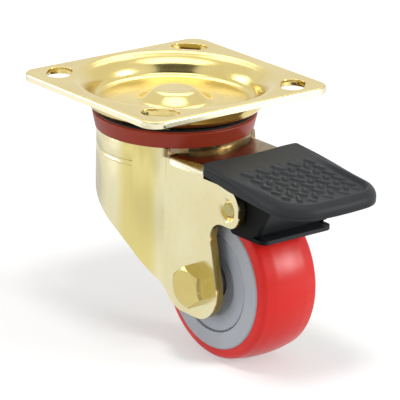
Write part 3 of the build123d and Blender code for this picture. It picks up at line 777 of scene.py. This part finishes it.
class CASTOR_OT_wheel(bpy.types.Operator):
    """Finishes the tyre, the hub and its covers"""

    bl_idname = "castor.wheel"
    bl_label = "Wheel"

    def execute(self, context):
        finish, wheel = context.scene.castor_finish, context.scene.castor_wheel
        tread = moulded(
            "tyre_polyurethane", tuple(finish.tyre_red), worn=0.86, satin=0.30,
            grain_size=1.2 * MM, grain_depth=0.004 * MM, gloss=0.28)
        hub = moulded(
            "hub_plastic", tuple(finish.hub_grey), worn=0.9, satin=0.42,
            grain_size=0.5 * MM, grain_depth=0.008 * MM)
        cover = moulded(
            "cover_plastic", tuple(finish.cover_grey), worn=0.88, satin=0.4,
            grain_size=0.5 * MM, grain_depth=0.008 * MM)
        self.tyre(wheel, tread)
        dress("wheel_hub", hub, 0.5 * MM)
        for side, node in ((-1, "near_hub_cover"), (1, "far_hub_cover")):
            self.cover(wheel, side, node, cover)
        return {"FINISHED"}

    def tyre(self, wheel, paint):
        """A crowned tread between rounded shoulders, with its foot keyed into the hub."""
        key_depth, key_half_width = 1.4 * MM, 6.0 * MM
        crown_side = 0.55 * wheel.shoulder_half_width
        crown_radius = wheel.tread_radius - 0.3 * (wheel.tread_radius - wheel.shoulder_radius)
        half = [
            (key_half_width, wheel.hub_radius - key_depth, 0.1 * MM),
            (key_half_width, wheel.hub_radius, 0.1 * MM),
            (wheel.foot_half_width, wheel.hub_radius, 0.2 * MM),
            (wheel.foot_half_width - 0.1 * MM, wheel.hub_radius + 0.9 * MM, 0.6 * MM),
            (wheel.shoulder_half_width, wheel.shoulder_radius, 3.0 * MM),
            (crown_side, crown_radius, 20 * MM),
            (0, wheel.tread_radius + 0.1 * MM, 60 * MM),
        ]
        mirrored = [(-along, radius, corner) for along, radius, corner in half[-2::-1]]
        lathed_piece(
            "tyre_tread", half + mirrored, AXLE, (0, 1, 0), paint, "wheel", ["tyre"])

    def cover(self, wheel, side, node, paint):
        """A disc with a rolled rim and a dished middle, on one side of the hub."""
        face = wheel.hub_half_width - 0.5 * MM
        rim = wheel.cover_radius - 0.5 * MM
        wall, dish, dish_radius, bore = 1.8 * MM, 1.6 * MM, 13 * MM, 8.3 * MM
        outline = [
            (face - wall, rim, 0.2 * MM),
            (face, rim, 0.9 * MM),
            (face, dish_radius + 2.5 * MM, 2.0 * MM),
            (face - dish, dish_radius, 2.0 * MM),
            (face - dish, bore, 0.4 * MM),
            (face - dish - wall, bore, 0.2 * MM),
            (face - dish - wall, dish_radius + 0.5 * MM, 1.0 * MM),
            (face - wall, dish_radius + 3 * MM, 1.0 * MM),
        ]
        lathed_piece(
            node.replace("hub_cover", "cover_disc"), outline, AXLE, (0, side, 0), paint,
            "wheel", [node])


class CASTOR_OT_brake(bpy.types.Operator):
    """Finishes the brake's lever, blade, pin, washers and screws"""

    bl_idname = "castor.brake"
    bl_label = "Brake"

    def execute(self, context):
        black = tuple(context.scene.castor_finish.lever_black)
        pin_gold = (0.42, 0.36, 0.14)
        for node in ("brake_lever", "brake_blade"):
            dress(node, black_coat("black_coat", black, 0.38), 0.35 * MM)
        dress("brake_pin", yellow_zinc("zinc_pin", pin_gold))
        for node in ("brake_washers", "pedal_screws"):
            dress(node, bare_steel(*TURNED_STEEL))
        return {"FINISHED"}


class CASTOR_OT_pedal(bpy.types.Operator):
    """Models the moulded pedal with its raised rim and its grip"""

    bl_idname = "castor.pedal"
    bl_label = "Pedal"

    def execute(self, context):
        pedal = context.scene.castor_pedal
        paint = moulded(
            "pedal_plastic", tuple(context.scene.castor_finish.pedal_black), worn=1.3, satin=0.42,
            grain_size=0.5 * MM, grain_depth=0.02 * MM, gloss=0.08)
        along, across = self.plan(pedal)
        edge = self.inset(pedal, along, across)
        top = self.upper_face(pedal, along, across, edge)
        under = self.lower_face(pedal, along, edge)
        points, faces = self.shell(along, across, top, under)
        make_piece(
            "foot_pedal", self.placed(pedal, points), faces, paint,
            "brake", ["brake_pedal"])
        return {"FINISHED"}

    def plan(self, pedal, rows=236, columns=176):
        """Rows across the pedal: along = end * (1 - cos(pi s)) / 2 and across = W(along) * sin(pi t / 2).

        W is the half width there. At the nose it follows the bowed edge and the corner arcs, and at the
        rear the small corners.
        """
        half = pedal.width / 2
        narrowest, samples = 0.1, 4000
        side = np.linspace(narrowest, 1, samples) * half
        past = np.clip(side - (half - pedal.nose_corner), 0, None)
        nose = pedal.length - pedal.nose_bow * (side / half) ** 2
        nose = nose - pedal.nose_corner + np.sqrt(np.clip(pedal.nose_corner**2 - past**2, 0, None))
        end = nose[0]
        along = end * (1 - np.cos(np.pi * np.linspace(0, 1, rows))) / 2
        width = np.where(along < nose[-1], half, np.interp(along, nose[::-1], side[::-1]))
        rear = np.clip(pedal.rear_corner - along, 0, None)
        width -= pedal.rear_corner - np.sqrt(pedal.rear_corner**2 - rear**2)
        across = width[:, None] * np.sin(np.pi / 2 * np.linspace(-1, 1, columns))[None, :]
        return np.broadcast_to(along[:, None], across.shape), across

    def inset(self, pedal, along, across):
        """Distance in from the outline: that of a rounded rectangle, with the bow straightened first."""
        half = pedal.width / 2
        straight = along + pedal.nose_bow * (across / half) ** 2 - pedal.length / 2
        corner = np.where(straight > 0, pedal.nose_corner, pedal.rear_corner)
        past_x = np.abs(straight) - pedal.length / 2 + corner
        past_y = np.abs(across) - half + corner
        outside = np.hypot(np.clip(past_x, 0, None), np.clip(past_y, 0, None))
        return np.clip(corner - outside - np.minimum(np.maximum(past_x, past_y), 0), 0, None)

    def upper_face(self, pedal, along, across, edge):
        """A rounded edge, a raised rim, and a tread that sinks towards the nose and carries the grip bars.

        The edge drops by r - sqrt(r^2 - (r - d)^2) at d from the outline, and r grows towards the nose. So
        does the tread's depth, which eases in from the rim.
        """
        round_from, round_to, sink_from, sink_to = 12 * MM, 48 * MM, 8 * MM, 40 * MM
        rim_inner, field_outer = 4.0 * MM, 6.8 * MM
        crown_rise, crown_inset, crown_reach = 0.35 * MM, 4.2 * MM, 1.6 * MM
        radius = pedal.rear_round + (pedal.edge_round - pedal.rear_round) * ease(along, round_from, round_to)
        short = np.clip(radius - edge, 0, None)
        height = -(radius - np.sqrt(np.clip(radius**2 - short**2, 0, None)))
        deeper = ease(along, sink_from, sink_to)
        height = height - pedal.field_depth * ease(edge, rim_inner, field_outer) * deeper
        crown = crown_rise * np.exp(-(((edge - crown_inset) / crown_reach) ** 2)) * deeper
        return height + crown + self.grip(pedal, along, across, edge)

    def grip(self, pedal, along, across, edge):
        """Short uneven bars, one in each cell: the height eases off with the distance to a capsule.

        The cell's column picks which way its bar leans, and a sine of its row and column how long it is. Bars
        fade out in the margins at the rear, at the nose and along the rim.
        """
        pitch_along, pitch_across, lean = 6.6 * MM, 4.4 * MM, math.radians(28)
        per_row, per_column, mean_length, length_change = 12.9898, 78.233, 0.9, 0.25
        rear_margin, nose_margin, rim_margin = (15 * MM, 20 * MM), (9 * MM, 12 * MM), (7 * MM, 9 * MM)
        flank_foot, flank_top = -0.45 * MM, 0.35 * MM
        column = np.round(across / pitch_across)
        stagger = 0.5 * pitch_along * (column % 2)
        row = np.round((along - stagger) / pitch_along)
        from_x = along - stagger - row * pitch_along
        from_y = across - column * pitch_across
        turn = np.where(column % 2 == 0, lean, -lean)
        forward = from_x * np.cos(turn) + from_y * np.sin(turn)
        sideways = from_y * np.cos(turn) - from_x * np.sin(turn)
        uneven = np.sin(per_row * row + per_column * column)
        straight = (pedal.bar_length * (mean_length + length_change * uneven) - pedal.bar_width) / 2
        gap = np.hypot(np.clip(np.abs(forward) - straight, 0, None), sideways) - pedal.bar_width / 2
        centre = row * pitch_along + stagger
        in_field = ease(centre, *rear_margin) * ease(pedal.length - centre, *nose_margin)
        in_field = in_field * ease(edge, *rim_margin)
        return pedal.bar_rise * ease(-gap, flank_foot, flank_top) * in_field

    def lower_face(self, pedal, along, edge):
        """The skirt's foot round the outline, and the ceiling of the hollow inside it."""
        wall, top_wall, wall_round, rear_run = 2.0 * MM, 3.0 * MM, 0.6 * MM, 20 * MM
        deeper = np.clip(along / rear_run, 0, 1)
        foot = -(pedal.rear_height + (pedal.height - pedal.rear_height) * deeper)
        ceiling = np.maximum(foot, -top_wall)
        return foot + (ceiling - foot) * ease(edge, wall, wall + wall_round)

    def shell(self, along, across, top, under):
        """Upper and lower grids joined round their border by a wall with rows of points at some levels."""
        rows, columns = across.shape
        upper = np.stack([along, across, top], -1).reshape(-1, 3)
        lower = np.stack([along, across, under], -1).reshape(-1, 3)
        index = np.arange(rows * columns).reshape(rows, columns)
        border = np.concatenate([index[0, :-1], index[:-1, -1], index[-1, :0:-1], index[:0:-1, 0]])
        levels = np.array([0.25, 0.5, 0.75, 0.92])[:, None, None]
        wall = upper[border][None] + (lower[border] - upper[border])[None] * levels
        count = rows * columns
        sheet = grid_faces(rows, columns, False, False)
        rings = np.concatenate([
            border[None], 2 * count + np.arange(wall.shape[0] * border.size).reshape(wall.shape[0], -1),
            border[None] + count])
        strip = grid_faces(rings.shape[0], border.size, False, True)
        side = rings.reshape(-1)[strip]
        points = np.concatenate([upper, lower, wall.reshape(-1, 3)])
        return points, np.concatenate([sheet[:, ::-1], sheet + count, side[:, ::-1]])

    def placed(self, pedal, points):
        """From the pedal's own plane into the castor's frame."""
        cos, sin = math.cos(pedal.slope), math.sin(pedal.slope)
        along, across, up = points.T
        return np.stack([
            pedal.rear_x + along * cos + up * sin,
            across,
            -pedal.rear_drop - along * sin + up * cos,
        ], -1)


class CASTOR_PT_panel(bpy.types.Panel):
    """Lists the castor's pieces and its stage"""

    bl_idname = "CASTOR_PT_panel"
    bl_label = "Castor"
    bl_space_type = "VIEW_3D"
    bl_region_type = "UI"
    bl_category = "Castor"

    def draw(self, context):
        for operator in OPERATORS:
            self.layout.operator(operator.bl_idname)
        for key, group in GROUPS.items():
            box = self.layout.box()
            for name in group.__annotations__:
                box.prop(getattr(context.scene, key), name)


GROUPS = {
    "castor_stage": CastorStage,
    "castor_finish": CastorFinish,
    "castor_wheel": CastorWheel,
    "castor_pedal": CastorPedal,
}
OPERATORS = (
    CASTOR_OT_stage,
    CASTOR_OT_plate,
    CASTOR_OT_swivel_head,
    CASTOR_OT_fork,
    CASTOR_OT_axle,
    CASTOR_OT_wheel,
    CASTOR_OT_brake,
    CASTOR_OT_pedal,
)


def register():
    for name, group in GROUPS.items():
        bpy.utils.register_class(group)
        setattr(bpy.types.Scene, name, bpy.props.PointerProperty(type=group))
    for thing in (*OPERATORS, CASTOR_PT_panel):
        bpy.utils.register_class(thing)


def unregister():
    for thing in (CASTOR_PT_panel, *reversed(OPERATORS)):
        bpy.utils.unregister_class(thing)
    for name, group in GROUPS.items():
        delattr(bpy.types.Scene, name)
        bpy.utils.unregister_class(group)


def main():
    register()
    for operator in OPERATORS:
        family, name = operator.bl_idname.split(".")
        getattr(getattr(bpy.ops, family), name)()


if __name__ == "__main__":
    main()
